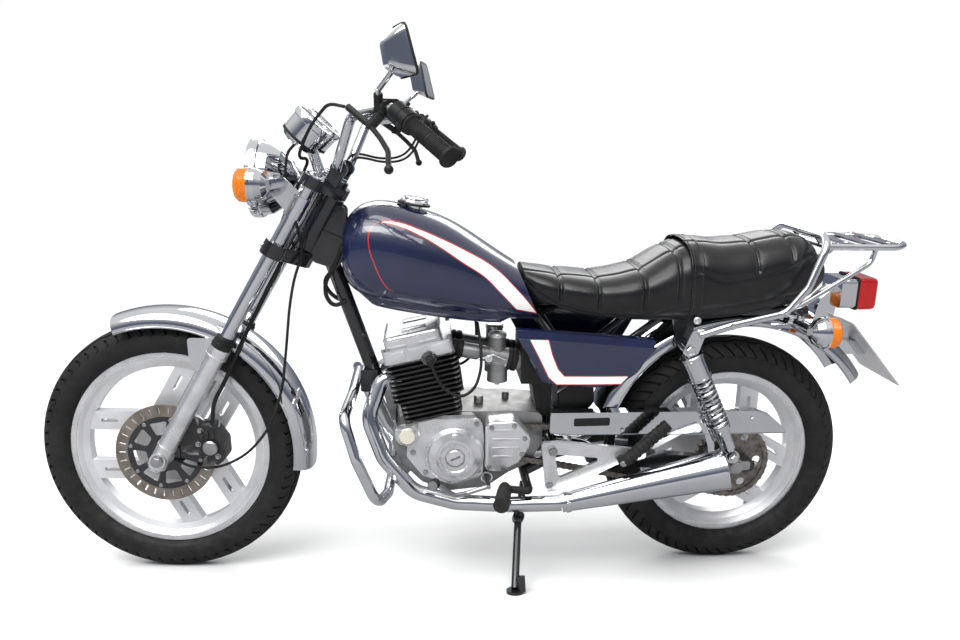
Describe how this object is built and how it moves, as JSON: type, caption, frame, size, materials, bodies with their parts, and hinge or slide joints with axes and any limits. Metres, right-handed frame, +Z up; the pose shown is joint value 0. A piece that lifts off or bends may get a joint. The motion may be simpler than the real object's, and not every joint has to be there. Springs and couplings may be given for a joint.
{
  "type": "cruiser motorcycle",
  "caption": "Air-cooled cruiser motorcycle leaning on its side stand, with stepped seat, luggage rack, crash bars, cast wheels and round chrome lamp.",
  "frame": {"origin": "on the ground under the middle of the box round the whole motorcycle", "axes": "+X to the rear along the bike, -Y to the rider's left (the side stand side), +Z up"},
  "size_m": [2.1107, 0.8566, 1.3097],
  "materials": {
    "frame_black": "gloss black",
    "steel": "plated steel",
    "engine_alloy": "cast, satin",
    "fin_black": "satin black",
    "polished_alloy": "polished",
    "black_plastic": "matte",
    "chrome": "mirror chrome",
    "navy_paint": "metallic gloss",
    "seat_vinyl": "grained vinyl",
    "red_lens": "clear red",
    "amber_lens": "clear amber",
    "lamp_glass": "fluted glass",
    "plate_steel": "blank",
    "rubber": "matte",
    "tyre": "matte rubber",
    "chain_steel": "oiled",
    "wheel_alloy": "machined and satin",
    "gauge_black": "black dials"
  },
  "bodies": {
    "frame": {"frame": "frame_black", "swingarm": "frame_black", "rear_axle": "steel", "engine_block": "engine_alloy", "cylinder_block": "fin_black", "head_cover": "polished_alloy", "engine_covers": "polished_alloy", "carburettors": "engine_alloy", "airbox": "black_plastic", "plug_leads": "rubber", "frame_cables": "rubber", "exhaust_left": "chrome", "exhaust_right": "chrome", "crash_bars": "chrome", "fuel_tank": "navy_paint", "fuel_cap": "chrome", "seat": "seat_vinyl", "seat_strap": "seat_vinyl", "side_covers": "navy_paint", "rear_fender": "chrome", "grab_rail": "chrome", "luggage_rack": "chrome", "tail_lamp": "chrome", "tail_lens": "red_lens", "rear_indicators": "chrome", "rear_indicator_lenses": "amber_lens", "number_plate": "plate_steel", "peg_brackets": "polished_alloy", "foot_pegs": "rubber", "foot_controls": "steel", "shocks": "chrome", "shock_springs": "chrome", "chain": "chain_steel", "chain_guard": "chrome"},
    "rear_wheel": {"rear_wheel": "wheel_alloy", "rear_tyre": "tyre", "rear_sprocket": "chain_steel"},
    "fork": {"fork_tubes": "chrome", "fork_sliders": "polished_alloy", "fork_seals": "rubber", "fork_clamps": "frame_black", "front_axle": "steel", "front_fender": "chrome", "headlamp": "chrome", "headlamp_lens": "lamp_glass", "lamp_bracket": "chrome", "front_indicators": "chrome", "front_indicator_lenses": "amber_lens", "instruments": "chrome", "instrument_faces": "gauge_black", "handlebar": "chrome", "grips": "rubber", "hand_controls": "black_plastic", "mirrors": "chrome", "brake_caliper": "fin_black", "front_cables": "rubber"},
    "front_wheel": {"front_wheel": "wheel_alloy", "front_tyre": "tyre", "brake_disc": "steel"},
    "side_stand": {"side_stand": "frame_black"}
  },
  "joints": [
    {"name": "rear_wheel_spin", "type": "hinge", "parent": "frame", "child": "rear_wheel", "pos_m": [0.64686, 0.13314, 0.29791], "axis": [0, 0.9833, 0.1822], "continuous": true},
    {"name": "steering", "type": "hinge", "parent": "frame", "child": "fork", "pos_m": [-0.36206, 0.02646, 0.87352], "axis": [0.493, -0.1585, 0.8555], "range_deg": [-35.6, 44.4]},
    {"name": "front_wheel_spin", "type": "hinge", "parent": "fork", "child": "front_wheel", "pos_m": [-0.73801, 0.13361, 0.31515], "axis": [0.0667, 0.9872, 0.1445], "continuous": true},
    {"name": "side_stand_fold", "type": "hinge", "parent": "frame", "child": "side_stand", "pos_m": [0.11277, 0.03448, 0.14981], "axis": [0.0005, -0.8361, 0.5486], "range_deg": [0, 88]}
  ]
}
